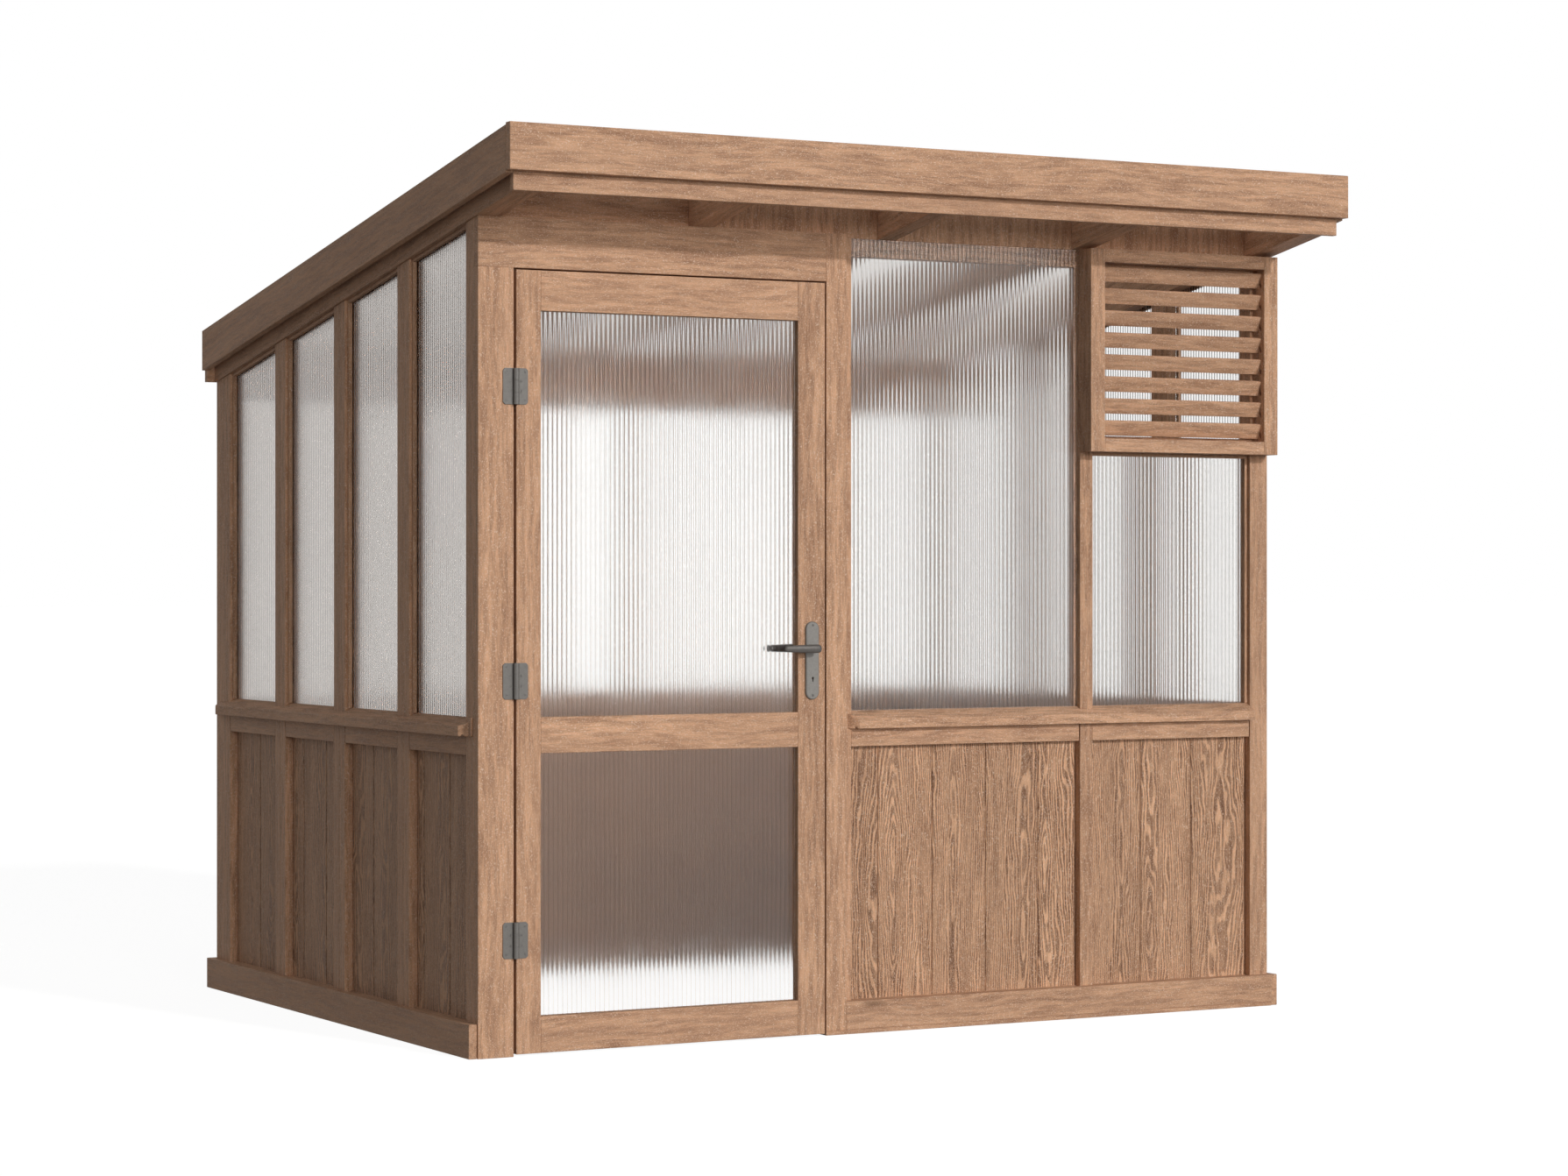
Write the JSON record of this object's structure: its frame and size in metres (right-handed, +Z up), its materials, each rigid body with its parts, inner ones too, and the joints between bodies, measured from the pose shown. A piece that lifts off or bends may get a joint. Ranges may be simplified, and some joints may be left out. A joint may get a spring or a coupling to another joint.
{
  "type": "pent greenhouse",
  "caption": "Timber greenhouse with a single pitched roof, ribbed clear panes over a boarded dado, a hinged door with a lever handle and a slatted vent box.",
  "frame": {"origin": "middle of the base, below the middle of the whole object with its roof overhangs", "axes": "+X to the right along the front, +Y from the door to the back, +Z up"},
  "size_m": [2.718, 2.361, 2.4801],
  "materials": {
    "frame_timber": "stained softwood",
    "board_timber": "stained softwood",
    "roof_timber": "stained softwood",
    "door_timber": "stained softwood",
    "ribbed_sheet": "clear ribbed sheet",
    "cap_strip": "clear cap strip",
    "hinge_metal": "dark grey coated",
    "handle_metal": "satin grey",
    "lock_steel": "plain steel"
  },
  "bodies": {
    "building": {"back_beam": "roof_timber", "back_dado_boards": "board_timber", "back_head_rail": "frame_timber", "back_panes": "ribbed_sheet", "back_posts": "frame_timber", "barge_rafters": "roof_timber", "bay_stile": "frame_timber", "corner_post": "frame_timber", "door_header": "frame_timber", "door_stops": "frame_timber", "fascia_packers": "roof_timber", "frame_hinge_leaves": "hinge_metal", "frame_screws": "lock_steel", "front_beam": "roof_timber", "front_dado_boards": "board_timber", "front_dado_rails": "frame_timber", "front_fascia": "roof_timber", "front_head_rails": "frame_timber", "front_panes": "ribbed_sheet", "front_plinth": "frame_timber", "front_sill": "frame_timber", "front_stud": "frame_timber", "glazing_beads": "frame_timber", "hinge_pins": "lock_steel", "left_dado_boards": "board_timber", "left_panes": "ribbed_sheet", "left_posts": "frame_timber", "louvre_frame": "frame_timber", "louvre_slats": "frame_timber", "mid_post": "frame_timber", "rafter_blocking": "roof_timber", "rafters": "roof_timber", "right_dado_boards": "board_timber", "right_panes": "ribbed_sheet", "right_post": "frame_timber", "right_posts": "frame_timber", "roof_caps": "cap_strip", "roof_sheets": "ribbed_sheet", "side_fascias": "roof_timber", "sole_rails": "frame_timber", "sole_strip": "frame_timber", "strike_plate": "lock_steel", "vent_transom": "frame_timber", "wall_dado_rails": "frame_timber", "wall_plinths": "frame_timber", "wall_sills": "frame_timber"},
    "door": {"hinge_stile": "door_timber", "latch_stile": "door_timber", "door_rails": "door_timber", "door_panes": "ribbed_sheet", "door_beads": "door_timber", "door_hinge_leaves": "hinge_metal", "handle_plates": "handle_metal", "door_screws": "lock_steel", "lock_case": "lock_steel"},
    "lever": {"outer_lever": "handle_metal", "inner_lever": "handle_metal", "spindle": "lock_steel"},
    "latch_bolt": {"latch_bolt": "lock_steel"},
    "dead_bolt": {"dead_bolt": "lock_steel"}
  },
  "joints": [
    {"name": "door_swing", "type": "hinge", "parent": "building", "child": "door", "pos_m": [-1.201, -0.8768, 0], "axis": [0, 0, -1], "range_deg": [0, 170]},
    {"name": "lever_turn", "type": "hinge", "parent": "door", "child": "lever", "pos_m": [-0.285, -0.8465, 1.093], "axis": [0, -1, 0], "range_deg": [0, 35], "stiffness_Nm_per_rad": 1.2, "springref_deg": -22.92},
    {"name": "latch_slide", "type": "slide", "parent": "door", "child": "latch_bolt", "axis": [-1, 0, 0], "range_m": [0, 0.011]},
    {"name": "dead_bolt_slide", "type": "slide", "parent": "door", "child": "dead_bolt", "axis": [1, 0, 0], "range_m": [0, 0.018]}
  ],
  "couplings": [
    {"joint": "latch_slide", "follows": "lever_turn", "m_per_rad": 0.018}
  ]
}
